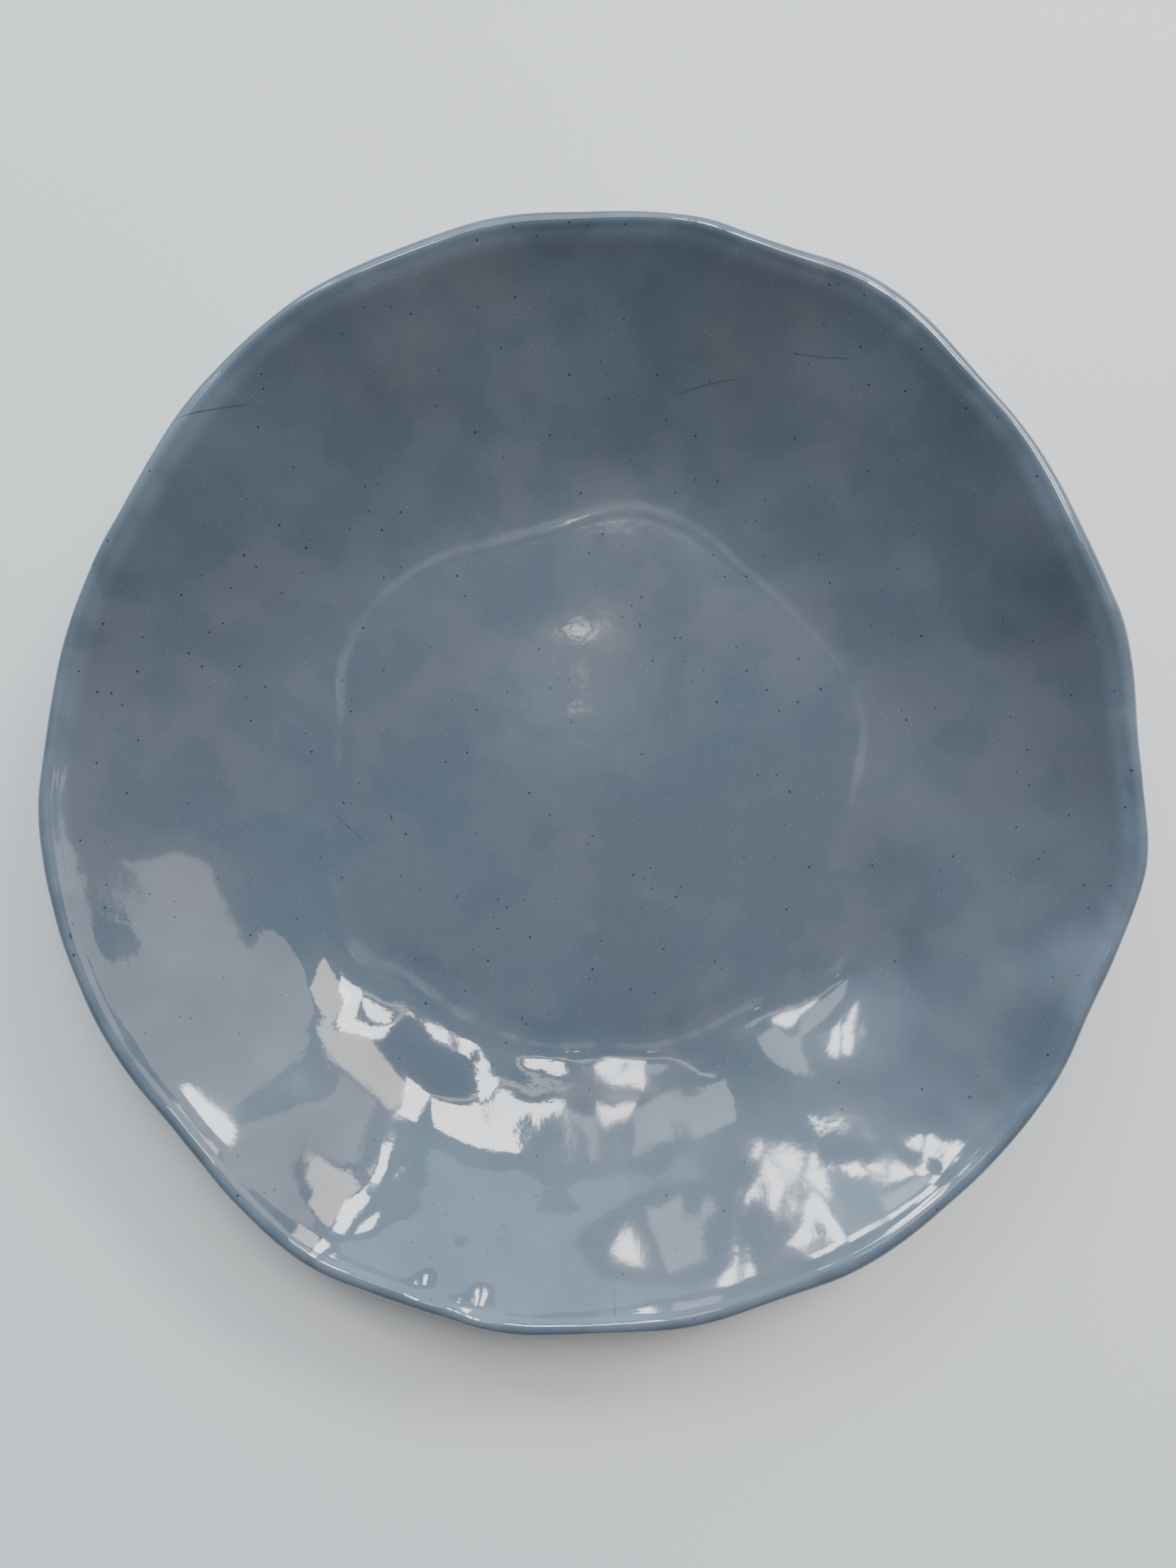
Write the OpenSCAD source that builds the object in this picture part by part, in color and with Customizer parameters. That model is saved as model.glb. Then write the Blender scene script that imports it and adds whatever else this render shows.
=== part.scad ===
// Hand-made serving platter: a shallow round dish with a flat floor, a curved wall and a thick
// rounded rim that was pinched out of true by hand, standing on a bare clay foot ring.
// The origin is the centre of the foot ring's contact face. +Z is up, and sizes are millimetres.

/* [Dish] */
// Outer radius of the rim before it is pinched
rim_r = 200; // [165:1:240]
// Height from the table to the top of the rim before it is pinched
dish_h = 58; // [46:1:70]
// Radius of the flat floor, where the curved wall begins
floor_r = 100; // [80:1:115]
// How tightly the floor bends up into the wall: small is tight
bend_reach = 24; // [10:1:30]
// Slope of the wall where it meets the lip, in degrees
lip_lean = 38; // [30:1:55]
// How far down the wall the lip's slope carries
lip_reach = 40; // [20:1:45]

/* [Clay and glaze] */
// Thickness of the fired clay, the same in the floor and the wall
clay_t = 5.6; // [4:0.2:8]
// Thickness of one coat of glaze
glaze_t = 0.7; // [0.4:0.1:1]
// Where the two coats meet on the lip: 0 is the inner side, 180 the outer side
seam_turn = 150; // [90:30:150]

/* [Foot] */
// Height of the foot ring
foot_h = 7; // [4:0.5:12]
// Width of the foot ring's contact face
foot_w = 7; // [5:0.5:12]
// How far the foot ring stands inside the edge of the flat floor
foot_inset = 4; // [3:0.5:15]
// Width of the bare clay band wiped clean of glaze on each side of the foot ring
bare_band = 1.5; // [0.5:0.5:2.5]

/* [Pinches] */
// Each pinch of the rim: [clock angle, push outward, push upward, reach along the wall]
pinches = [
    [5, -4, 1, 45],
    [25, -4.5, 2.5, 60],
    [60, 6, -2, 55],
    [80, 4, 2, 50],
    [100, 4.5, -2.5, 65],
    [120, 1.5, 2, 50],
    [150, -6, 3.5, 80],
    [170, -2, -2.5, 55],
    [200, -0.5, 2, 60],
    [220, -1.5, -1, 35],
    [240, 5.5, -2, 55],
    [260, 3, 2, 55],
    [280, 3, -2, 50],
    [300, 1, 2, 55],
    [320, 1.5, -1.5, 50],
    [335, -2.5, 1, 35],
    [350, 2, 1, 30]
];

/* [Hidden] */
around = 72;
wall_steps = 10;
lip_steps = 6;

// The section is laid out about the middle line of the clay: flat, then one curve up to the lip.
clay_half = clay_t / 2;
skin_half = clay_half + glaze_t;
mid_z = foot_h + clay_half;
lip_r = rim_r - skin_half;
lip_z = dish_h - skin_half;
wall_run = lip_r - floor_r;
wall_curve = [
    [floor_r, mid_z],
    [floor_r + bend_reach, mid_z],
    [lip_r - lip_reach * cos(lip_lean), lip_z - lip_reach * sin(lip_lean)],
    [lip_r, lip_z]
];
seam_step = round(seam_turn * lip_steps / 180);

// The foot ring's radii follow the flat floor that it is luted to.
foot_out_r = floor_r - foot_inset;
foot_in_r = foot_out_r - foot_w;

// A point of the wall's cubic curve at t, from 0 at the floor to 1 at the lip, and the way it runs.
function curve_at(c, t) =
    pow(1 - t, 3) * c[0] + 3 * t * pow(1 - t, 2) * c[1] + 3 * t * t * (1 - t) * c[2] + pow(t, 3) * c[3];
function curve_way(c, t) =
    let (way = pow(1 - t, 2) * (c[1] - c[0]) + 2 * t * (1 - t) * (c[2] - c[1]) + t * t * (c[3] - c[2]))
        way / norm(way);

// One ring of the section, [radius, height]: offset is its distance from the middle line, + inside.
function on_floor(r, offset) = [r, mid_z + offset];
function on_wall(t, offset) =
    let (way = curve_way(wall_curve, t))
        curve_at(wall_curve, t) + offset * [-way[1], way[0]];
function on_lip(turn, offset) = [
    lip_r + offset * (sin(turn) * cos(lip_lean) - cos(turn) * sin(lip_lean)),
    lip_z + offset * (sin(turn) * sin(lip_lean) + cos(turn) * cos(lip_lean))
];

// The rings from the edge of the floor up the inside of the wall, and down its outside.
function up_wall(offset) = [for (i = [0:wall_steps]) on_wall(i / wall_steps, offset)];
function down_wall(offset) = [for (i = [wall_steps:-1:0]) on_wall(i / wall_steps, -offset)];
function over_lip(first, last, offset) = [
    for (i = [first:last]) on_lip(180 * i / lip_steps, offset)
];
function backwards(list) = [for (i = [len(list) - 1:-1:0]) list[i]];

// How far the pinches carry a point. A pinch fades smoothly with distance from its place on the lip,
// and all of them fade out down the wall, so the floor and the foot stay flat.
function ease(t) = t <= 0 ? 0 : t >= 1 ? 1 : t * t * (3 - 2 * t);
function fade(p) = ease((norm([p.x, p.y]) - floor_r) / wall_run);
function pinch_spot(pinch) = [lip_r * cos(pinch[0]), lip_r * sin(pinch[0]), lip_z];
function push(pinch) = [pinch[1] * cos(pinch[0]), pinch[1] * sin(pinch[0]), pinch[2]];
function pull(pinch, p) = ease(1 - norm(p - pinch_spot(pinch)) / pinch[3]) * push(pinch);
function pinched(p) = p + fade(p) * ([for (pinch = pinches) 1] * [for (pinch = pinches) pull(pinch, p)]);

// The points of a ring of the section, carried round the dish.
function ring_points(ring) = [
    for (i = [0:around - 1])
        let (turn = 360 * i / around)
            pinched([ring[0] * cos(turn), ring[0] * sin(turn), ring[1]])
];
function all_points(rings) = [for (ring = rings) each ring_points(ring)];

// The two triangles between neighbouring rings. A skin's return sheet takes the other diagonal, so
// that it has the same triangles as the surface that it lies on.
function cell(a, b, i, returning) =
    let (j = (i + 1) % around)
        returning
        ? [[a + i, a + j, b + i], [a + j, b + j, b + i]]
        : [[a + i, b + j, b + i], [a + i, a + j, b + j]];
function band(a, b, returning) = [for (i = [0:around - 1]) each cell(a, b, i, returning)];
function bands(count, outbound) = [
    for (k = [0:count - 2]) each band(k * around, (k + 1) * around, k >= outbound)
];
function fan(first, pole, top) = [
    for (i = [0:around - 1])
        let (j = (i + 1) % around)
            top ? [pole, first + j, first + i] : [first + j, pole, first + i]
];

// A closed body whose section starts at a point above the centre and ends at a point below it.
module capped_body(rings, top_z, bottom_z, outbound) {
    count = len(rings);
    last = (count - 1) * around;
    points = concat(all_points(rings), [[0, 0, top_z], [0, 0, bottom_z]]);
    faces = concat(
        fan(0, count * around, true),
        bands(count, outbound),
        fan(last, count * around + 1, false)
    );
    polyhedron(points, faces, convexity = 6);
}

// A closed band whose section is a loop that does not reach the centre.
module looped_body(rings, outbound) {
    count = len(rings);
    faces = concat(bands(count, outbound), band((count - 1) * around, 0, false));
    polyhedron(all_points(rings), faces, convexity = 6);
}

// Fired clay body: the floor, the wall and the rounded lip in one thickness.
module clay_dish() {
    rings = concat(
        up_wall(clay_half),
        over_lip(1, lip_steps - 1, clay_half),
        down_wall(clay_half),
        [on_floor(foot_out_r + bare_band, -clay_half)]
    );
    color([0.70, 0.62, 0.53])
        capped_body(rings, mid_z + clay_half, mid_z - clay_half, len(rings));
}

// Ring of clay luted under the flat floor, bare where it stands on the table.
module foot_ring() {
    color([0.66, 0.58, 0.49])
        rotate_extrude($fn = 144)
            translate([foot_in_r, 0])
                square([foot_w, foot_h]);
}

// Coat over the inside of the dish, carried over the lip to the seam.
module inside_glaze() {
    outer = concat(up_wall(skin_half), over_lip(1, seam_step, skin_half));
    inner = concat(up_wall(clay_half), over_lip(1, seam_step, clay_half));
    color([0.38, 0.46, 0.54])
        capped_body(concat(outer, backwards(inner)), mid_z + skin_half, mid_z + clay_half, len(outer) - 1);
}

// Coat under the wall, from the seam on the lip to the bare band outside the foot ring.
module outside_glaze() {
    foot_edge_r = foot_out_r + bare_band;
    outer = concat(
        over_lip(seam_step, lip_steps - 1, skin_half),
        down_wall(skin_half),
        [on_floor(foot_edge_r, -skin_half)]
    );
    inner = concat(
        over_lip(seam_step, lip_steps - 1, clay_half),
        down_wall(clay_half),
        [on_floor(foot_edge_r, -clay_half)]
    );
    color([0.34, 0.42, 0.50])
        looped_body(concat(outer, backwards(inner)), len(outer) - 1);
}

// Glazed disc of the base inside the foot ring.
module recess_glaze() {
    color([0.36, 0.44, 0.52])
        translate([0, 0, foot_h - glaze_t])
            cylinder(r = foot_in_r - bare_band, h = glaze_t, $fn = 144);
}

clay_dish();
foot_ring();
inside_glaze();
outside_glaze();
recess_glaze();
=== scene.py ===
"""Hand-made serving platter: a pinched and pressed clay dish on a foot ring, under glossy blue-grey glaze.

Everything is in metres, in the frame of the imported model: the origin is the centre of the foot
ring's contact face, and +Z is up.
"""

import math

import bpy
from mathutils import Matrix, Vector


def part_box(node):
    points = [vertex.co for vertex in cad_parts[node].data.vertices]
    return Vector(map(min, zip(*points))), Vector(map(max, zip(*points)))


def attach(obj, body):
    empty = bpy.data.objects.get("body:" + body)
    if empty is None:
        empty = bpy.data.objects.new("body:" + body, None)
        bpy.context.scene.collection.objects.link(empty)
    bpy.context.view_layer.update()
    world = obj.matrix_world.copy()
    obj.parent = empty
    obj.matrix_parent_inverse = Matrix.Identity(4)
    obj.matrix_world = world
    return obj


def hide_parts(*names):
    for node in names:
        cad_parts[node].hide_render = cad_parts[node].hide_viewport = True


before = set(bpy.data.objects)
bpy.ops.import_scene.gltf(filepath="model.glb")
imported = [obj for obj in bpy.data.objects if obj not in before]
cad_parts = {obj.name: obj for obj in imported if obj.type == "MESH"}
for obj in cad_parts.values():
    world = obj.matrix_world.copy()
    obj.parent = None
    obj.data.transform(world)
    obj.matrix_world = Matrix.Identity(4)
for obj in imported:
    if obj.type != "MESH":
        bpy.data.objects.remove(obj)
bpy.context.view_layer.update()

MM = 0.001

# ---------------------------------------------------------------------------------------------
# Sizes of the platter
# ---------------------------------------------------------------------------------------------

# Taken from the frame
FOOT_OUT_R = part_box("foot_ring")[1][0]
FOOT_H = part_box("foot_ring")[1][2]
RECESS_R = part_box("recess_glaze")[1][0]
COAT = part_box("recess_glaze")[1][2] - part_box("recess_glaze")[0][2]
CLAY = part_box("inside_glaze")[0][2] - FOOT_H

# The same values as the part's own source
RIM_R = 200 * MM
DISH_H = 58 * MM
FLOOR_R = 100 * MM
BEND_REACH = 24 * MM
LIP_LEAN = math.radians(38)
LIP_REACH = 40 * MM
FOOT_W = 7 * MM
BARE_BAND = 1.5 * MM
SEAM_TURN = 150

# A thumb softened the inner edge of the lip: how deep, and over how much of the wall
SOFTENED = 0.55 * MM
SOFTENED_SHARE = 0.05

# The section's middle line: a flat floor, then one curve up the wall to the round lip
HALF = CLAY / 2 + COAT
MID_Z = FOOT_H + CLAY / 2
LIP_R = RIM_R - HALF
LIP_Z = DISH_H - HALF
WALL_CURVE = [
    Vector((FLOOR_R, MID_Z)),
    Vector((FLOOR_R + BEND_REACH, MID_Z)),
    Vector((LIP_R - LIP_REACH * math.cos(LIP_LEAN), LIP_Z - LIP_REACH * math.sin(LIP_LEAN))),
    Vector((LIP_R, LIP_Z)),
]

# How finely the dish is worked: segments round it, rings up each side of its wall, how much closer
# those rings lie towards the lip, rings over the lip, and segments round the foot
AROUND = 480
WALL_RINGS = 38
CROWDING = 1.25
LIP_RINGS = 12
FOOT_AROUND = 288

# Softened edges of the foot ring and of the glazed disc inside it
FOOT_EDGE = 1.1 * MM
RECESS_EDGE = 0.45 * MM
EDGE_STEPS = 4

# Faces that meet at less than this angle are shaded as one surface
SMOOTH_UNDER = math.radians(40)

# Each pinch of the rim: clock angle, push outward, push upward, reach along the wall
PINCHES = [
    (5, -4, 1, 45),
    (25, -4.5, 2.5, 60),
    (60, 6, -2, 55),
    (80, 4, 2, 50),
    (100, 4.5, -2.5, 65),
    (120, 1.5, 2, 50),
    (150, -6, 3.5, 80),
    (170, -2, -2.5, 55),
    (200, -0.5, 2, 60),
    (220, -1.5, -1, 35),
    (240, 5.5, -2, 55),
    (260, 3, 2, 55),
    (280, 3, -2, 50),
    (300, 1, 2, 55),
    (320, 1.5, -1.5, 50),
    (335, -2.5, 1, 35),
    (350, 2, 1, 30),
]

# Where the bend between the floor and the wall wanders, inside only: clock angle, push outward,
# push upward, reach along the surface. The pushes start this far up the wall's curve.
BEND_PLACE = 0.1
WANDERS = [
    (15, 5, 0.2, 48),
    (50, -3, -0.3, 50),
    (78, 4, 0.3, 46),
    (105, -4, -0.3, 50),
    (140, 5, 0.3, 50),
    (178, -3, -0.4, 46),
    (212, 6, 0.3, 44),
    (238, -4, -0.4, 34),
    (256, 3, 0.4, 28),
    (273, -4, -0.4, 30),
    (295, 3, 0.4, 30),
    (324, 13, -0.6, 56),
    (350, -3, 0.2, 42),
]

# Marks of palms, fingers and thumbs pressed into the inside of the wall: clock angle, distance in
# from the rim, depth, reach
DENTS = [
    (222, 56, 0.8, 34),
    (238, 54, 1.7, 36),
    (252, 56, 0.8, 34),
    (264, 56, 0.5, 34),
    (278, 56, 0.9, 34),
    (292, 56, 1.6, 34),
    (306, 58, 0.6, 34),
    (287, 36, 0.8, 24),
    (251.5, 7.5, 0.9, 9),
    (258.5, 7.0, 1.0, 10),
    (254, 19, 0.25, 8),
    (264, 14, 0.25, 10),
    (243, 16, 0.3, 12),
    (309, 12, 0.35, 12),
    (314, 22, 0.35, 13),
    (319, 12, 0.4, 10),
    (303, 26, 0.25, 14),
    (228, 12, 0.3, 13),
]

# A fingertip run along the near bend, pressed in at these clock angles
GROOVE = [(angle, 93, 0.4, 14) for angle in range(224, 305, 6)]

# Swells that the hands left in the clay: name, size and depth in millimetres
SWELLS = [
    ("palm_swells", 52, 2.2),
    ("finger_swells", 20, 0.55),
    ("finger_marks", 9, 0.13),
]

# The share of the swells on the inside of the floor, and how far outside its edge they are full
FLOOR_SHARE = 0.2
SWELL_RISE = 15 * MM

# How far from the middle of the lip the glaze still runs thin
THIN_REACH = 2.2 * HALF

# Colours of the glaze and the clay
SLATE = (0.082, 0.098, 0.116, 1)
MAUVE = (0.092, 0.099, 0.115, 1)
DEEP = (0.063, 0.080, 0.100, 1)
THIN = (0.125, 0.158, 0.195, 1)
PALE_SPECK = (0.40, 0.45, 0.50, 1)
IRON = (0.012, 0.015, 0.024, 1)
BUFF = (0.46, 0.38, 0.29, 1)
SAND = (0.36, 0.29, 0.22, 1)
GROG = (0.20, 0.15, 0.11, 1)
FLOOR_WARM = (0.62, 0.60, 0.57, 1)
FLOOR_PALE = (0.66, 0.64, 0.61, 1)

# How strongly each colour shows over the ground it lies on
DEEP_SHARE = 0.5
PALE_SHARE = 0.38
IRON_SHARE = 0.85
SCRATCH_SHARE = 0.45
GROG_SHARE = 0.6
PORE_SHARE = 0.8

# The thinness of the glaze on the lip and the roughness of all of it, clear of the clouds and in them
LIP_THINNESS = (0.4, 0.15)
GLAZE_ROUGHNESS = (0.045, 0.075)

# How much less rough stained clay is
STAIN_POLISH = 0.12

# The camera: its place, its lens and the width of its sensor in millimetres
CAMERA_PLACE = (-1.9 * MM, -3.4 * MM, 478 * MM)
LENS = 27
SENSOR = 36

# The side of the floor's square
FLOOR_SPAN = 6

# The studio: the room's tones and glow, and the soft boxes, which hang this far from the dish
LIT_POINT = Vector((0, 0, 30 * MM))
LIGHT_REACH = 2.2
ROOM_PALE = (0.8, 0.8, 0.82, 1)
ROOM_NEAR = (0.06, 0.06, 0.07, 1)
ROOM_OVERHEAD = (0.40, 0.42, 0.45, 1)
ROOM_FAR = (3.7, 5.0, 6.4, 1)
ROOM_LAMP = (2.7, 2.7, 2.8, 1)
LAMP_WAY = (-0.01, 0.08, 1)
ROOM_GLOW = 0.5

# Where the room's tones fade into each other: near to overhead and overhead to far, along Y; the pale
# surround to what is above it, along Z; and the lamp's pool of light, by distance from its middle
NEAR_FADE = (-0.4, 0.1)
FAR_FADE = (0.2, 0.68)
ABOVE_FADE = (0.1, 0.4)
POOL_FADE = (0.02, 0.105)

# Each soft box: name, azimuth, tilt from overhead, width, height, glow and colour
SOFT_BOXES = [
    ("sky", 88, 45.5, 50, 18, 2.6, (0.48, 0.79, 1.0)),
    ("side_wall", 30, 41, 21, 15, 2.8, (1, 0.98, 0.98)),
    ("left_window", 48, 49, 18, 9, 34, (1, 1, 1)),
    ("right_window_a", 116, 42.5, 3.8, 5, 34, (1, 1, 1)),
    ("right_window_b", 122.5, 45, 3.5, 4.5, 34, (1, 1, 1)),
    ("right_window_low", 121, 51, 10, 6, 7, (0.85, 0.95, 1)),
    ("roof_window_a", 61, 25.5, 4, 17, 34, (1, 1, 1)),
    ("roof_window_b", 78, 25, 5.5, 14, 32, (1, 1, 1)),
    ("cream_blind", 47, 26.5, 9, 13, 12, (1, 0.93, 0.82)),
    ("roof_pane", 105, 26, 13, 12, 5.0, (0.86, 0.95, 1.0)),
    ("ceiling_edge", 88, 16, 15, 1.0, 6, (1, 0.96, 0.95)),
    ("lamp_bulb", 94, 8.6, 1.2, 0.5, 32, (1, 0.97, 0.92)),
    ("lamp_glint_a", 96, 6.4, 0.8, 0.35, 5, (1, 0.93, 0.85)),
    ("lamp_glint_b", 98, 4.8, 0.7, 0.5, 5, (1, 0.93, 0.85)),
]


# ---------------------------------------------------------------------------------------------
# Working in edit mode
# ---------------------------------------------------------------------------------------------

def nothing_selected():
    """Leave edit mode and deselect every object."""
    if bpy.context.object and bpy.context.object.mode != "OBJECT":
        bpy.ops.object.mode_set(mode="OBJECT")
    bpy.ops.object.select_all(action="DESELECT")


def take_up(piece):
    """Make the piece the only one selected and the active one."""
    nothing_selected()
    piece.select_set(True)
    bpy.context.view_layer.objects.active = piece


def edit_with(piece, kind, chosen):
    """Enter edit mode with only the chosen vertices, edges or faces selected."""
    take_up(piece)
    bpy.ops.object.mode_set(mode="EDIT")
    bpy.ops.mesh.select_mode(type=kind)
    bpy.ops.mesh.select_all(action="DESELECT")
    bpy.ops.object.mode_set(mode="OBJECT")
    items = {"VERT": piece.data.vertices, "EDGE": piece.data.edges, "FACE": piece.data.polygons}[kind]
    for item in items:
        if chosen(item):
            item.select = True
    bpy.ops.object.mode_set(mode="EDIT")


def edit_all(piece):
    """Enter edit mode with everything selected."""
    take_up(piece)
    bpy.ops.object.mode_set(mode="EDIT")
    bpy.ops.mesh.select_all(action="SELECT")


def done_editing():
    bpy.ops.object.mode_set(mode="OBJECT")


def add_and_apply(piece, kind, **settings):
    """Put a modifier on the piece and apply it."""
    take_up(piece)
    bpy.ops.object.modifier_add(type=kind)
    modifier = piece.modifiers[-1]
    for key, value in settings.items():
        setattr(modifier, key, value)
    bpy.ops.object.modifier_apply(modifier=modifier.name)


def copy_of(piece, name):
    """A copy with its own mesh."""
    twin = piece.copy()
    twin.data = piece.data.copy()
    twin.name = name
    bpy.context.collection.objects.link(twin)
    return twin


# ---------------------------------------------------------------------------------------------
# The dish's outer skin
# ---------------------------------------------------------------------------------------------

def wall_ring(t, offset):
    """Radius and height of a ring of the wall, from t = 0 at the floor to 1 at the lip."""
    a, b, c, d = WALL_CURVE
    u = 1 - t
    place = u ** 3 * a + 3 * t * u * u * b + 3 * t * t * u * c + t ** 3 * d
    way = (u * u * (b - a) + 2 * t * u * (c - b) + t * t * (d - c)).normalized()
    return (place.x - offset * way.y, place.y + offset * way.x)


def lip_ring(turn, offset):
    """Radius and height of a ring of the lip: turn 0 is its inner side and 180 its outer side."""
    s, c = math.sin(math.radians(turn)), math.cos(math.radians(turn))
    return (
        LIP_R + offset * (s * math.cos(LIP_LEAN) - c * math.sin(LIP_LEAN)),
        LIP_Z + offset * (s * math.sin(LIP_LEAN) + c * math.cos(LIP_LEAN)),
    )


def skin_rings():
    """The rings of the skin, from beside the foot, up the outside, over the lip and down inside. They
    lie closer together towards the lip."""
    rings = [(FOOT_OUT_R + BARE_BAND, MID_Z - HALF)]
    heights = [1 - (1 - i / WALL_RINGS) ** CROWDING for i in range(WALL_RINGS)]
    for t in heights:
        rings.append(wall_ring(t, -HALF))
    for i in range(LIP_RINGS + 1):
        turn = 180 - 180 * i / LIP_RINGS
        inner = (1 + math.cos(math.radians(turn))) / 2
        rings.append(lip_ring(turn, HALF - SOFTENED * inner))
    for t in reversed(heights):
        near_lip = max(0.0, 1 - (1 - t) / SOFTENED_SHARE)
        rings.append(wall_ring(t, HALF - SOFTENED * near_lip ** 2 * (3 - 2 * near_lip)))
    return rings


def raise_sheet(name, rings, segments):
    """Raise a round sheet ring by ring, and stay in edit mode with its last ring selected."""
    nothing_selected()
    radius, height = rings[0]
    bpy.ops.mesh.primitive_circle_add(vertices=segments, radius=radius, location=(0, 0, height))
    sheet = bpy.context.object
    sheet.name = name
    bpy.ops.object.transform_apply(location=True)
    bpy.ops.object.mode_set(mode="EDIT")
    bpy.ops.mesh.select_mode(type="EDGE")
    bpy.ops.mesh.select_all(action="SELECT")
    for next_radius, next_height in rings[1:]:
        climb = (0, 0, next_height - height)
        bpy.ops.mesh.extrude_edges_move(TRANSFORM_OT_translate={"value": climb})
        grow = next_radius / radius
        bpy.ops.transform.resize(value=(grow, grow, 1), center_override=(0, 0, next_height))
        radius, height = next_radius, next_height
    return sheet


def face_outwards(piece):
    edit_all(piece)
    bpy.ops.mesh.normals_make_consistent(inside=False)
    done_editing()


def nearest_vertex(sheet, angle, ring):
    """The vertex nearest a clock angle on a ring of the section."""
    turn = math.radians(angle)
    spot = Vector((ring[0] * math.cos(turn), ring[0] * math.sin(turn), ring[1]))
    return min(sheet.data.vertices, key=lambda v: (v.co - spot).length_squared).index


def clock_shift(angle, out, up):
    """A shift outward and upward at a clock angle, from millimetres."""
    turn = math.radians(angle)
    return Vector((out * math.cos(turn), out * math.sin(turn), up)) * MM


def push_spot(sheet, index, shift, reach, along_surface=False):
    """Move one vertex, and drag what lies within reach smoothly along with it."""
    edit_with(sheet, "VERT", lambda v: v.index == index)
    bpy.ops.transform.translate(
        value=shift,
        use_proportional_edit=True,
        use_proportional_connected=along_surface,
        proportional_edit_falloff="SMOOTH",
        proportional_size=reach,
    )
    done_editing()


def push_many(sheet, ring, pushes, along_surface):
    """Push the sheet out of true at several clock angles of one ring of the section."""
    spots = [nearest_vertex(sheet, push[0], ring) for push in pushes]
    for spot, (angle, out, up, reach) in zip(spots, pushes):
        push_spot(sheet, spot, clock_shift(angle, out, up), reach * MM, along_surface)


def dent_wall(sheet):
    """Press the marks of hands into the inside of the wall, square to its surface."""
    facing_up, slice_half = 0.5, 2 * MM
    inside = [v for v in sheet.data.vertices if v.normal.z > facing_up]
    spots = []
    for angle, down, depth, reach in GROOVE + DENTS:
        turn = math.radians(angle)
        way = Vector((math.cos(turn), math.sin(turn)))
        near = [v for v in inside if abs(way.cross(v.co.xy)) < slice_half and way.dot(v.co.xy) > 0]
        edge = max(v.co.xy.length for v in near)
        spot = min(near, key=lambda v: abs(v.co.xy.length - (edge - down * MM)))
        spots.append((spot.index, -depth * MM * spot.normal, reach * MM))
    for index, shift, reach in spots:
        push_spot(sheet, index, shift, reach, along_surface=True)


def mark_lip(sheet):
    """Store how near each point is to the lip, where the glaze runs thin, and how far across the lip
    it lies, in metres, which the lines drawn along the lip follow."""
    nearness = sheet.data.attributes.new("lip", "FLOAT", "POINT")
    across = sheet.data.attributes.new("across_lip", "FLOAT", "POINT")
    for vertex, mark, place in zip(sheet.data.vertices, nearness.data, across.data):
        out, up = vertex.co.xy.length - LIP_R, vertex.co.z - LIP_Z
        mark.value = max(0.0, min(1.0, (THIN_REACH - math.hypot(out, up)) / (THIN_REACH - HALF)))
        turn = math.atan2(out * math.cos(LIP_LEAN) + up * math.sin(LIP_LEAN), HALF)
        side = math.copysign(1, up * math.cos(LIP_LEAN) - out * math.sin(LIP_LEAN))
        place.value = side * (math.pi / 2 - turn) * HALF


def mark_worked_clay(sheet):
    """A vertex group of how much of the swells each point takes: all of them on the wall, a share on
    the inside of the floor, and none on the underside of the floor, which the foot is luted to."""
    group = sheet.vertex_groups.new(name="worked")
    for vertex in sheet.data.vertices:
        least = FLOOR_SHARE if vertex.normal.z > 0 else 0.0
        up_wall = max(0.0, min(1.0, (vertex.co.xy.length - FLOOR_R) / SWELL_RISE))
        group.add([vertex.index], least + (1 - least) * up_wall, "REPLACE")


def ripple(sheet, name, size, depth):
    """Raise and sink the surface a little, in swells of about the given size."""
    swell = bpy.data.textures.new(name, "CLOUDS")
    swell.noise_basis = "ORIGINAL_PERLIN"
    swell.noise_scale = size
    swell.noise_depth = 0
    add_and_apply(
        sheet, "DISPLACE",
        texture=swell, texture_coords="LOCAL", strength=depth, mid_level=0.5, vertex_group="worked",
    )


def make_skin():
    """The whole outer skin of the dish, in one sheet, still to be parted into its coats."""
    sheet = raise_sheet("dish_skin", skin_rings(), AROUND)
    bpy.ops.mesh.fill_grid(span=AROUND // 4)
    done_editing()
    face_outwards(sheet)
    for name in ("inside", "outside"):
        sheet.data.materials.append(bpy.data.materials.new(name))
    seam = math.radians(SEAM_TURN)
    seam_normal_z = math.sin(seam) * math.sin(LIP_LEAN) + math.cos(seam) * math.cos(LIP_LEAN)
    edit_with(sheet, "FACE", lambda f: f.normal.z < seam_normal_z)
    sheet.active_material_index = 1
    bpy.ops.object.material_slot_assign()
    done_editing()
    mark_lip(sheet)
    mark_worked_clay(sheet)
    push_many(sheet, lip_ring(90, HALF), PINCHES, along_surface=False)
    push_many(sheet, wall_ring(BEND_PLACE, HALF), WANDERS, along_surface=True)
    for name, size, depth in SWELLS:
        ripple(sheet, name, size * MM, depth * MM)
    dent_wall(sheet)
    return sheet


def part_coats(sheet):
    """Part the skin at its seam and give each half the thickness of one coat."""
    take_up(sheet)
    bpy.ops.object.mode_set(mode="EDIT")
    bpy.ops.mesh.separate(type="MATERIAL")
    done_editing()
    halves = list(bpy.context.selected_objects)
    halves.sort(key=lambda piece: min(v.co.z for v in piece.data.vertices))
    outside, inside = halves
    outside.name, inside.name = "outside_coat", "inside_coat"
    for coat in halves:
        add_and_apply(coat, "SOLIDIFY", thickness=COAT, offset=-1, use_rim=True)
    return inside, outside


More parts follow.
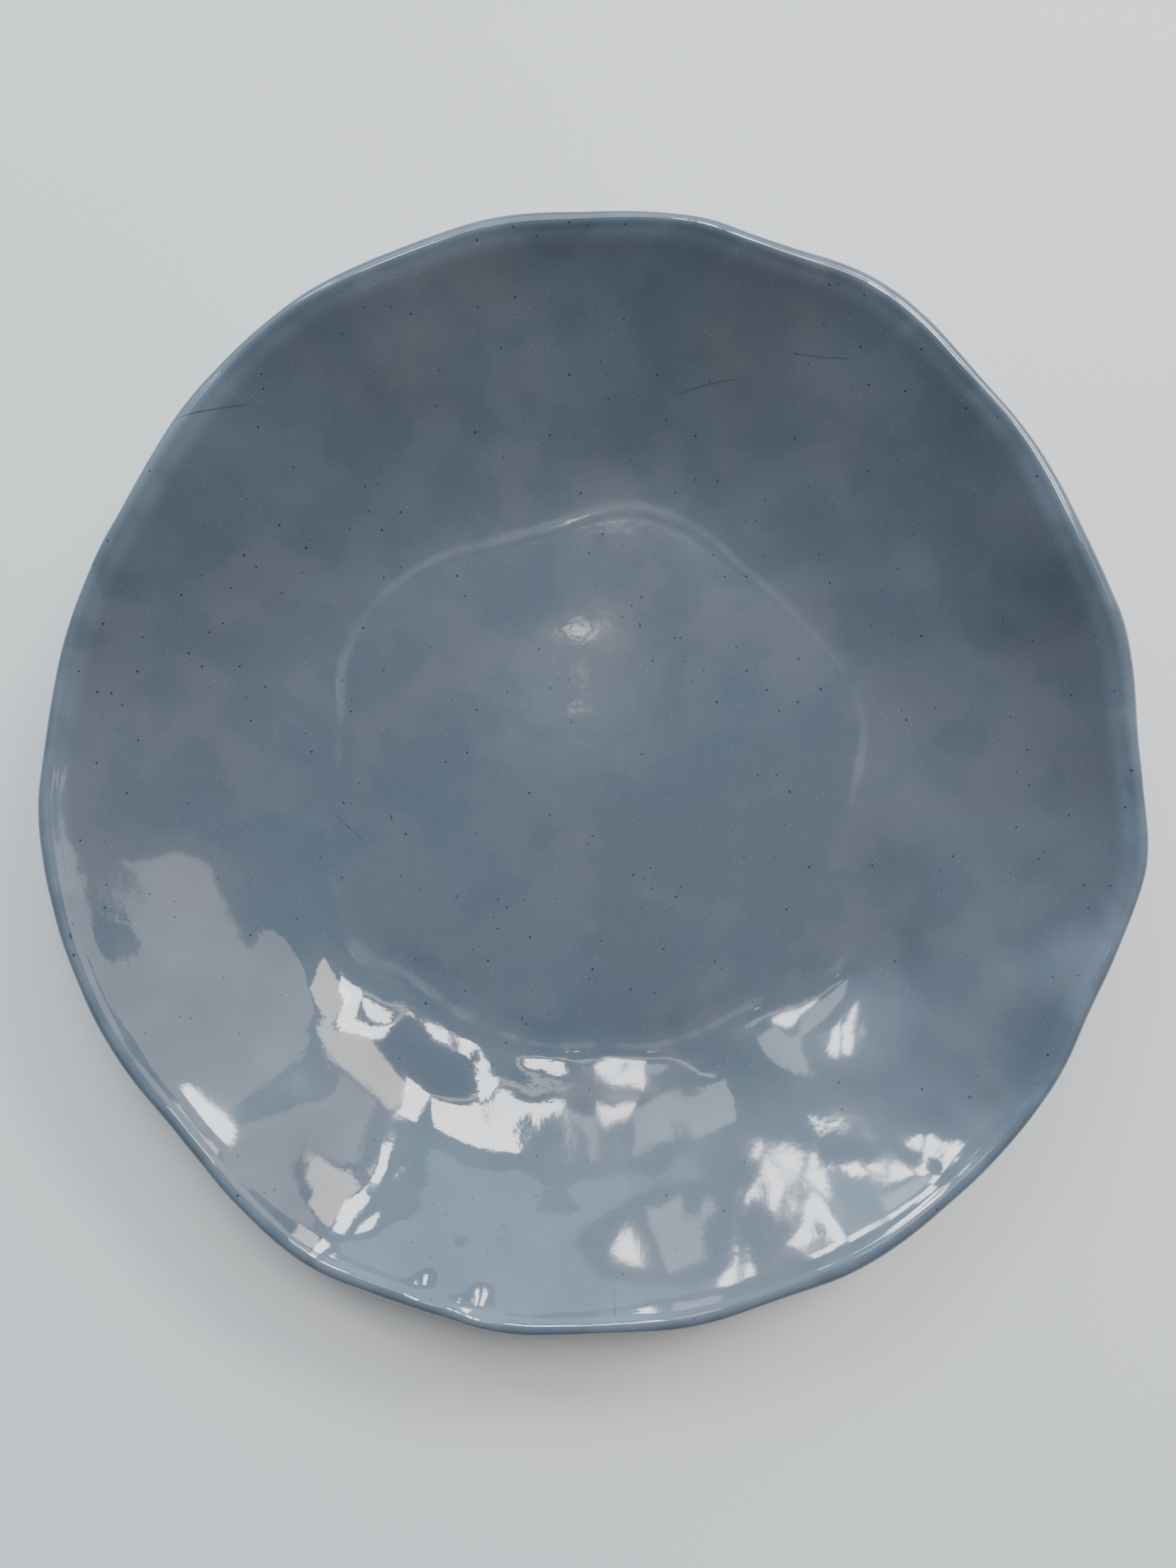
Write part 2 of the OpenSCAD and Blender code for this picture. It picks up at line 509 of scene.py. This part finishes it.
def make_clay(skin):
    """The clay body: the skin shrunk by one coat, with its base closed above the foot by a ring
    halfway in and a point at the centre."""
    halfway = 0.5
    clay = copy_of(skin, "clay_body")
    edit_all(clay)
    bpy.ops.transform.shrink_fatten(value=-COAT)
    bpy.ops.mesh.select_all(action="DESELECT")
    bpy.ops.mesh.select_mode(type="EDGE")
    bpy.ops.mesh.select_non_manifold()
    bpy.ops.mesh.extrude_edges_move(TRANSFORM_OT_translate={"value": (0, 0, 0)})
    bpy.ops.transform.resize(value=(halfway, halfway, 1), center_override=(0, 0, FOOT_H))
    bpy.ops.mesh.extrude_edges_move(TRANSFORM_OT_translate={"value": (0, 0, 0)})
    bpy.ops.mesh.merge(type="CENTER")
    done_editing()
    face_outwards(clay)
    return clay


# ---------------------------------------------------------------------------------------------
# The foot
# ---------------------------------------------------------------------------------------------

def make_foot():
    """A coil of clay turned to a flat-faced ring, with softened edges."""
    nothing_selected()
    bpy.ops.mesh.primitive_cylinder_add(
        vertices=FOOT_AROUND, radius=FOOT_OUT_R, depth=FOOT_H, location=(0, 0, FOOT_H / 2))
    foot = bpy.context.object
    foot.name = "foot_coil"
    bpy.ops.object.transform_apply(location=True)
    edit_with(foot, "FACE", lambda f: abs(f.normal.z) > 0.9)
    bpy.ops.mesh.inset(thickness=FOOT_W, use_outset=False)
    bpy.ops.mesh.bridge_edge_loops()
    done_editing()
    add_and_apply(
        foot, "BEVEL",
        width=FOOT_EDGE, segments=EDGE_STEPS, limit_method="ANGLE", angle_limit=math.radians(60),
    )
    face_outwards(foot)
    return foot


def make_recess():
    """The glazed disc of the base inside the foot ring, with a rounded edge."""
    nothing_selected()
    bpy.ops.mesh.primitive_cylinder_add(
        vertices=FOOT_AROUND, radius=RECESS_R, depth=COAT, location=(0, 0, FOOT_H - COAT / 2))
    disc = bpy.context.object
    disc.name = "recess_coat"
    bpy.ops.object.transform_apply(location=True)
    edit_with(disc, "EDGE", lambda e: all(
        disc.data.vertices[i].co.z < FOOT_H - COAT / 2 for i in e.vertices))
    bpy.ops.mesh.bevel(offset=RECESS_EDGE, segments=EDGE_STEPS, affect="EDGES")
    done_editing()
    return disc


# ---------------------------------------------------------------------------------------------
# Shader nodes
# ---------------------------------------------------------------------------------------------

def add_node(tree, kind, feeds=None, **settings):
    """Add a node. Each feed is a value, or another node's output socket to link in."""
    made = tree.nodes.new(kind)
    for key, value in settings.items():
        setattr(made, key, value)
    for key, value in (feeds or {}).items():
        if isinstance(value, bpy.types.NodeSocket):
            tree.links.new(value, made.inputs[key])
        else:
            made.inputs[key].default_value = value
    return made


def sum_of(tree, sort, *feeds):
    """One step of arithmetic."""
    return add_node(tree, "ShaderNodeMath", dict(enumerate(feeds)), operation=sort).outputs[0]


def mixed(tree, share, first, second):
    """Colour first where share is 0, and second where it is 1."""
    feeds = {0: share, 6: first, 7: second}
    return add_node(tree, "ShaderNodeMix", feeds, data_type="RGBA").outputs[2]


def graded(tree, value, low, high, to_low=0.0, to_high=1.0):
    """Carry a value smoothly from one range to another, and no further."""
    feeds = {0: value, 1: low, 2: high, 3: to_low, 4: to_high}
    return add_node(tree, "ShaderNodeMapRange", feeds, interpolation_type="SMOOTHSTEP").outputs[0]


def start_group(name, feeds, results):
    """A new shader node group, with the sockets of its two ends."""
    group = bpy.data.node_groups.new(name, "ShaderNodeTree")
    for label, (kind, value) in feeds.items():
        socket = group.interface.new_socket(label, in_out="INPUT", socket_type="NodeSocket" + kind)
        if value is not None:
            socket.default_value = value
    for label, kind in results.items():
        group.interface.new_socket(label, in_out="OUTPUT", socket_type="NodeSocket" + kind)
    return group, group.nodes.new("NodeGroupInput").outputs, group.nodes.new("NodeGroupOutput").inputs


def use_group(tree, group, **feeds):
    """Place a group in a material, with its own values."""
    return add_node(tree, "ShaderNodeGroup", feeds, node_tree=group).outputs


# ---------------------------------------------------------------------------------------------
# Effects that the finishes share. Lengths are metres.
# ---------------------------------------------------------------------------------------------

def make_clouds():
    """Soft patches of about one size. Edge is how gradual their edges are."""
    group, feeds, results = start_group(
        "clouds",
        {
            "Place": ("Vector", None), "Size": ("Float", 0.05),
            "Detail": ("Float", 2.0), "Edge": ("Float", 0.15),
        },
        {"Mask": "Float"},
    )
    scale = sum_of(group, "DIVIDE", 1.0, feeds["Size"])
    noise = add_node(group, "ShaderNodeTexNoise", {
        "Vector": feeds["Place"], "Scale": scale, "Detail": feeds["Detail"], "Roughness": 0.5,
    })
    low = sum_of(group, "SUBTRACT", 0.5, feeds["Edge"])
    high = sum_of(group, "ADD", 0.5, feeds["Edge"])
    group.links.new(graded(group, noise.outputs["Fac"], low, high), results["Mask"])
    return group


def make_specks():
    """Round specks, one at most in each cell. Share is the part of the cells that have one."""
    group, feeds, results = start_group(
        "specks",
        {
            "Place": ("Vector", None), "Spacing": ("Float", 0.01),
            "Radius": ("Float", 0.0005), "Share": ("Float", 0.5),
        },
        {"Mask": "Float"},
    )
    scale = sum_of(group, "DIVIDE", 1.0, feeds["Spacing"])
    cells = add_node(group, "ShaderNodeTexVoronoi", {"Vector": feeds["Place"], "Scale": scale})
    lot = add_node(group, "ShaderNodeSeparateColor", {0: cells.outputs["Color"]})
    distance = sum_of(group, "MULTIPLY", cells.outputs["Distance"], feeds["Spacing"])
    size = sum_of(group, "MULTIPLY", feeds["Radius"], graded(group, lot.outputs[0], 0.0, 1.0, 0.4, 1.0))
    nearness = sum_of(group, "DIVIDE", distance, size)
    spot = graded(group, nearness, 1.0, 0.5)
    present = sum_of(group, "LESS_THAN", lot.outputs[1], feeds["Share"])
    group.links.new(sum_of(group, "MULTIPLY", spot, present), results["Mask"])
    return group


def make_hairline():
    """A hair-thin scratch: an arc through Middle about Centre, fading out at Reach from Middle."""
    group, feeds, results = start_group(
        "hairline",
        {
            "Place": ("Vector", None), "Middle": ("Vector", (0, 0, 0)), "Centre": ("Vector", (0, 0, 0)),
            "Reach": ("Float", 0.01), "Width": ("Float", 0.0003),
        },
        {"Mask": "Float"},
    )

    def apart(first, second):
        """How far apart two places are, seen from above."""
        flat = {0: first, 1: (1, 1, 0)}
        level = add_node(group, "ShaderNodeVectorMath", flat, operation="MULTIPLY").outputs[0]
        gap = add_node(group, "ShaderNodeVectorMath", {0: level, 1: second}, operation="DISTANCE")
        return gap.outputs["Value"]

    from_centre = apart(feeds["Place"], feeds["Centre"])
    arc_radius = apart(feeds["Middle"], feeds["Centre"])
    out = sum_of(group, "SUBTRACT", from_centre, arc_radius)
    line = sum_of(group, "DIVIDE", sum_of(group, "ABSOLUTE", out), feeds["Width"])
    along = sum_of(group, "DIVIDE", apart(feeds["Place"], feeds["Middle"]), feeds["Reach"])
    mask = sum_of(group, "MULTIPLY", graded(group, line, 1.0, 0.3), graded(group, along, 1.0, 0.6))
    group.links.new(mask, results["Mask"])
    return group


def make_uneven():
    """The height of an uneven surface: a fine grain on broader swells."""
    group, feeds, results = start_group(
        "uneven",
        {
            "Place": ("Vector", None), "Grain": ("Float", 0.001), "Grain depth": ("Float", 4e-6),
            "Swell": ("Float", 0.006), "Swell depth": ("Float", 2e-5),
        },
        {"Height": "Float"},
    )
    heights = []
    for size, depth in (("Grain", "Grain depth"), ("Swell", "Swell depth")):
        scale = sum_of(group, "DIVIDE", 1.0, feeds[size])
        noise = add_node(group, "ShaderNodeTexNoise", {
            "Vector": feeds["Place"], "Scale": scale, "Detail": 1.0, "Roughness": 0.5,
        })
        heights.append(sum_of(group, "MULTIPLY", noise.outputs["Fac"], feeds[depth]))
    group.links.new(sum_of(group, "ADD", *heights), results["Height"])
    return group


def make_drawn_lines():
    """The height of fine lines that a wet finger drew along the lip."""
    group, feeds, results = start_group(
        "drawn_lines",
        {
            "Across": ("Float", 0.0), "Share": ("Float", 0.0),
            "Spacing": ("Float", 0.001), "Depth": ("Float", 1e-5),
        },
        {"Height": "Float"},
    )
    scale = sum_of(group, "DIVIDE", 1.0, feeds["Spacing"])
    lines = add_node(group, "ShaderNodeTexNoise", {
        "W": feeds["Across"], "Scale": scale, "Detail": 1.0, "Roughness": 0.6,
    }, noise_dimensions="1D")
    depth = sum_of(group, "MULTIPLY", feeds["Depth"], feeds["Share"])
    group.links.new(sum_of(group, "MULTIPLY", lines.outputs["Fac"], depth), results["Height"])
    return group


clouds = make_clouds()
specks = make_specks()
hairline = make_hairline()
uneven = make_uneven()
drawn_lines = make_drawn_lines()


# ---------------------------------------------------------------------------------------------
# Finishes
# ---------------------------------------------------------------------------------------------

# Hairlines on the inside of the dish: middle, centre of the arc, reach and width, in millimetres
HAIRLINES = [
    ((-139, 130), (-60, -90), 17, 0.45),
    ((43, 148), (60, 60), 14, 0.35),
    ((84, 155), (110, 320), 13, 0.35),
    ((7.6, -191), (200, -186), 5, 0.5),
    ((-96, -21), (-20, 60), 9, 0.25),
]


def start_material(name):
    """A new material, with its node tree, its shader and the piece's own coordinates."""
    material = bpy.data.materials.new(name)
    material.use_nodes = True
    tree = material.node_tree
    place = tree.nodes.new("ShaderNodeTexCoord").outputs["Object"]
    return material, tree, tree.nodes["Principled BSDF"], place


def stretched(tree, place, turn, scale):
    """The coordinates turned and stretched, so that specks come out as dashes."""
    feeds = {"Vector": place, "Rotation": (0, 0, math.radians(turn)), "Scale": scale}
    return add_node(tree, "ShaderNodeMapping", feeds, vector_type="TEXTURE").outputs[0]


def roughen(tree, shader, height):
    """Bump the shader's surface by a height in metres."""
    bump = add_node(tree, "ShaderNodeBump", {"Height": height, "Distance": 1.0, "Strength": 1.0})
    tree.links.new(bump.outputs[0], shader.inputs["Normal"])


def glaze_finish(name, worn):
    """Glossy slate-blue glaze, clouded with mauve grey and deeper blue, with pale specks and dark iron
    ones, and thinner on the lip. Worn glaze is scratched."""
    material, tree, shader, place = start_material(name)

    broad = use_group(tree, clouds, Place=place, Size=0.075, Detail=3.0, Edge=0.1)["Mask"]
    small = use_group(tree, clouds, Place=place, Size=0.028, Detail=2.0, Edge=0.09)["Mask"]
    colour = mixed(tree, broad, SLATE, MAUVE)
    colour = mixed(tree, sum_of(tree, "MULTIPLY", small, DEEP_SHARE), colour, DEEP)

    lip = add_node(tree, "ShaderNodeAttribute", attribute_name="lip").outputs["Fac"]
    thin = sum_of(tree, "MULTIPLY", lip, graded(tree, small, 0.0, 1.0, *LIP_THINNESS))
    colour = mixed(tree, thin, colour, THIN)

    pale = use_group(tree, specks, Place=place, Spacing=0.0012, Radius=0.0002, Share=0.75)["Mask"]
    colour = mixed(tree, sum_of(tree, "MULTIPLY", pale, PALE_SHARE), colour, PALE_SPECK)
    iron = use_group(tree, specks, Place=place, Spacing=0.0041, Radius=0.00062, Share=0.42)["Mask"]
    dashes = use_group(
        tree, specks, Place=stretched(tree, place, 12, (1, 4, 1)), Spacing=0.0045, Radius=0.0004, Share=0.12,
    )["Mask"]
    dark = sum_of(tree, "MAXIMUM", iron, dashes)
    if worn:
        for (mx, my), (cx, cy), reach, width in HAIRLINES:
            scratch = use_group(
                tree, hairline, Place=place, Middle=(mx * MM, my * MM, 0), Centre=(cx * MM, cy * MM, 0),
                Reach=reach * MM, Width=width * MM,
            )["Mask"]
            dark = sum_of(tree, "MAXIMUM", dark, sum_of(tree, "MULTIPLY", scratch, SCRATCH_SHARE))
    colour = mixed(tree, sum_of(tree, "MULTIPLY", dark, IRON_SHARE), colour, IRON)
    tree.links.new(colour, shader.inputs["Base Color"])

    tree.links.new(graded(tree, broad, 0.0, 1.0, *GLAZE_ROUGHNESS), shader.inputs["Roughness"])
    peel = {"Grain": 0.0016, "Grain depth": 6.5e-6, "Swell": 0.0055, "Swell depth": 2e-5}
    height = use_group(tree, uneven, Place=place, **peel)["Height"]
    across = add_node(tree, "ShaderNodeAttribute", attribute_name="across_lip").outputs["Fac"]
    lines = use_group(tree, drawn_lines, Across=across, Share=lip, Spacing=0.0013, Depth=6e-5)["Height"]
    roughen(tree, shader, sum_of(tree, "ADD", height, lines))
    return material


def clay_finish(name, rough):
    """Unglazed clay: a buff ground with darker grog, a fine tooth and some staining."""
    material, tree, shader, place = start_material(name)
    stain = use_group(tree, clouds, Place=place, Size=0.02, Detail=3.0, Edge=0.2)["Mask"]
    ground = mixed(tree, stain, BUFF, SAND)
    grog = use_group(tree, specks, Place=place, Spacing=0.0022, Radius=0.0004, Share=0.4)["Mask"]
    ground = mixed(tree, sum_of(tree, "MULTIPLY", grog, GROG_SHARE), ground, GROG)
    pores = use_group(tree, specks, Place=place, Spacing=0.005, Radius=0.0005, Share=0.3)["Mask"]
    ground = mixed(tree, sum_of(tree, "MULTIPLY", pores, PORE_SHARE), ground, IRON)
    tree.links.new(ground, shader.inputs["Base Color"])
    tree.links.new(graded(tree, stain, 0.0, 1.0, rough, rough - STAIN_POLISH), shader.inputs["Roughness"])
    grain = {"Grain": 0.0006, "Grain depth": 4e-5, "Swell": 0.004, "Swell depth": 8e-5}
    height = use_group(tree, uneven, Place=place, **grain)["Height"]
    roughen(tree, shader, height)
    return material


def floor_finish():
    """Pale matt ground, very slightly uneven in tone."""
    material, tree, shader, place = start_material("pale_floor")
    tone = use_group(tree, clouds, Place=place, Size=0.6, Detail=2.0, Edge=0.4)["Mask"]
    tree.links.new(mixed(tree, tone, FLOOR_WARM, FLOOR_PALE), shader.inputs["Base Color"])
    shader.inputs["Roughness"].default_value = 0.7
    return material


def wear(piece, material):
    piece.data.materials.clear()
    piece.data.materials.append(material)


# ---------------------------------------------------------------------------------------------
# Camera, lights and floor
# ---------------------------------------------------------------------------------------------

def set_camera():
    """Look straight down from where a person leaning over the table holds a phone."""
    lens = bpy.data.cameras.new("view")
    lens.lens = LENS
    lens.sensor_width = SENSOR
    camera = bpy.data.objects.new("view", lens)
    camera.location = CAMERA_PLACE
    bpy.context.collection.objects.link(camera)
    bpy.context.scene.camera = camera


def soft_box(name, azimuth, tilt, wide, tall, glow, colour):
    """A soft box that faces the dish. Its place and its width and height are angles in degrees, seen
    from the dish: azimuth from +X towards +Y, and tilt down from overhead."""
    azimuth, tilt = math.radians(azimuth), math.radians(tilt)
    away = Vector((math.sin(tilt) * math.cos(azimuth), math.sin(tilt) * math.sin(azimuth), math.cos(tilt)))
    light = bpy.data.lights.new(name, "AREA")
    light.shape = "RECTANGLE"
    light.size = 2 * LIGHT_REACH * math.tan(math.radians(wide / 2))
    light.size_y = 2 * LIGHT_REACH * math.tan(math.radians(tall / 2))
    light.energy = glow * math.pi * light.size * light.size_y
    light.color = colour
    lamp = bpy.data.objects.new(name, light)
    lamp.location = LIT_POINT + LIGHT_REACH * away
    lamp.rotation_euler = (-away).to_track_quat("-Z", "Y").to_euler()
    bpy.context.collection.objects.link(lamp)


def set_room():
    """A pale surround. Overhead it fades from a bright far side to a dark near side, with a soft pool
    of lamplight on the ceiling."""
    world = bpy.data.worlds.new("room")
    bpy.context.scene.world = world
    world.use_nodes = True
    tree = world.node_tree
    way = tree.nodes.new("ShaderNodeTexCoord").outputs["Generated"]
    split = add_node(tree, "ShaderNodeSeparateXYZ", {0: way})
    overhead = graded(tree, split.outputs["Y"], *NEAR_FADE)
    far = graded(tree, split.outputs["Y"], *FAR_FADE)
    above = graded(tree, split.outputs["Z"], *ABOVE_FADE)
    tone = mixed(tree, far, mixed(tree, overhead, ROOM_NEAR, ROOM_OVERHEAD), ROOM_FAR)
    tone = mixed(tree, above, ROOM_PALE, tone)
    apart = add_node(tree, "ShaderNodeVectorMath", {0: way, 1: LAMP_WAY}, operation="DISTANCE")
    pool = graded(tree, apart.outputs["Value"], *POOL_FADE, 1.0, 0.0)
    tone = mixed(tree, pool, tone, ROOM_LAMP)
    background = tree.nodes["Background"]
    tree.links.new(tone, background.inputs["Color"])
    background.inputs["Strength"].default_value = ROOM_GLOW


def set_studio():
    set_room()
    for box in SOFT_BOXES:
        soft_box(*box)
    nothing_selected()
    bpy.ops.mesh.primitive_plane_add(size=FLOOR_SPAN)
    floor = bpy.context.object
    floor.name = "floor"
    wear(floor, floor_finish())


# ---------------------------------------------------------------------------------------------
# Making
# ---------------------------------------------------------------------------------------------

set_camera()
set_studio()

skin = make_skin()
clay = make_clay(skin)
inside, outside = part_coats(skin)
foot = make_foot()
recess = make_recess()

wear(inside, glaze_finish("eating_side_glaze", worn=True))
underside_glaze = glaze_finish("underside_glaze", worn=False)
wear(outside, underside_glaze)
wear(recess, underside_glaze)
wear(clay, clay_finish("fired_clay", rough=0.85))
wear(foot, clay_finish("bare_clay", rough=0.9))

for piece, node, slot in (
    (inside, "inside_glaze", "blue_glaze"),
    (outside, "outside_glaze", "blue_glaze"),
    (recess, "recess_glaze", "blue_glaze"),
    (clay, "clay_dish", "fired_clay"),
    (foot, "foot_ring", "bare_clay"),
):
    take_up(piece)
    bpy.ops.object.shade_smooth_by_angle(angle=SMOOTH_UNDER)
    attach(piece, "root")
    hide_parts(node)
